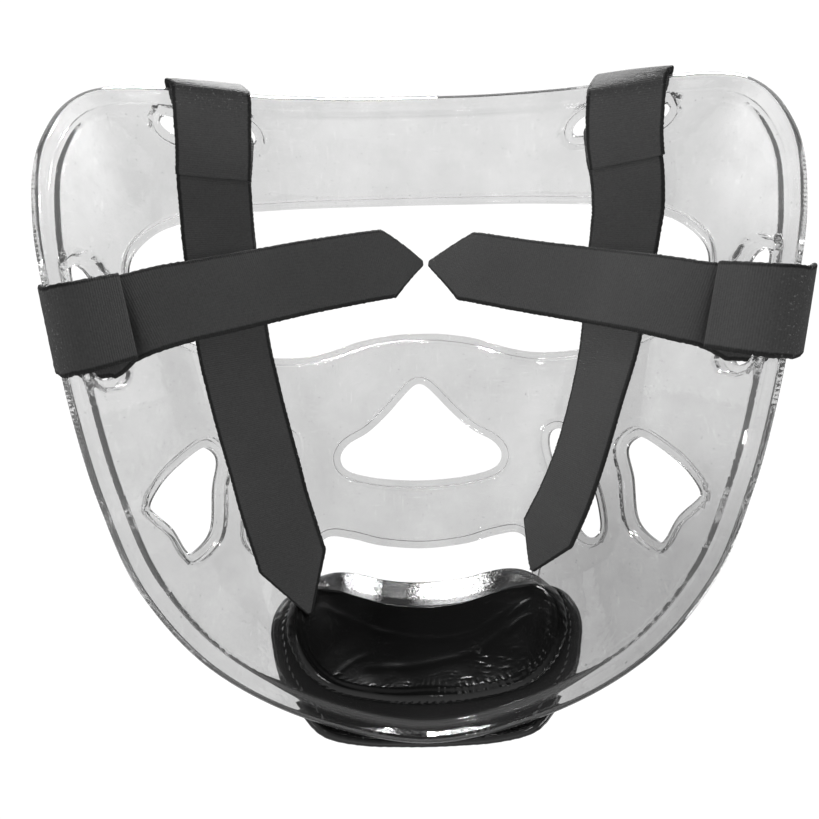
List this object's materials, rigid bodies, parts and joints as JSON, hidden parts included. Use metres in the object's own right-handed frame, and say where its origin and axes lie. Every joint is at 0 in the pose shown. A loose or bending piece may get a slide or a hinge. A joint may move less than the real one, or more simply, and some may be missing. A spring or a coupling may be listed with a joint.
{
  "type": "taekwondo face mask",
  "caption": "Clear formed face mask for a taekwondo headguard, with openings for sight and breath, black hook tapes and a padded black chin cover.",
  "frame": {"origin": "middle of the mask's width and height in front view, on the surface that it lies on", "axes": "X across the face, +X to the wearer's right; Y up the face to the forehead; Z from the front of the mask towards the wearer, up as it lies"},
  "size_m": [0.2282, 0.2425, 0.1079],
  "materials": {
    "clear_shell": "clear, glossy, finely scratched",
    "tape_cloth": "woven hook and loop tape, matt",
    "black_vinyl": "glossy grained vinyl"
  },
  "bodies": {
    "root": {"face_shell": "clear_shell", "chin_cushion": "black_vinyl", "chin_cover": "black_vinyl", "chin_cover_binding": "black_vinyl", "forehead_strap_left": "tape_cloth", "forehead_strap_right": "tape_cloth", "side_strap_left": "tape_cloth", "side_strap_right": "tape_cloth"}
  },
  "joints": []
}
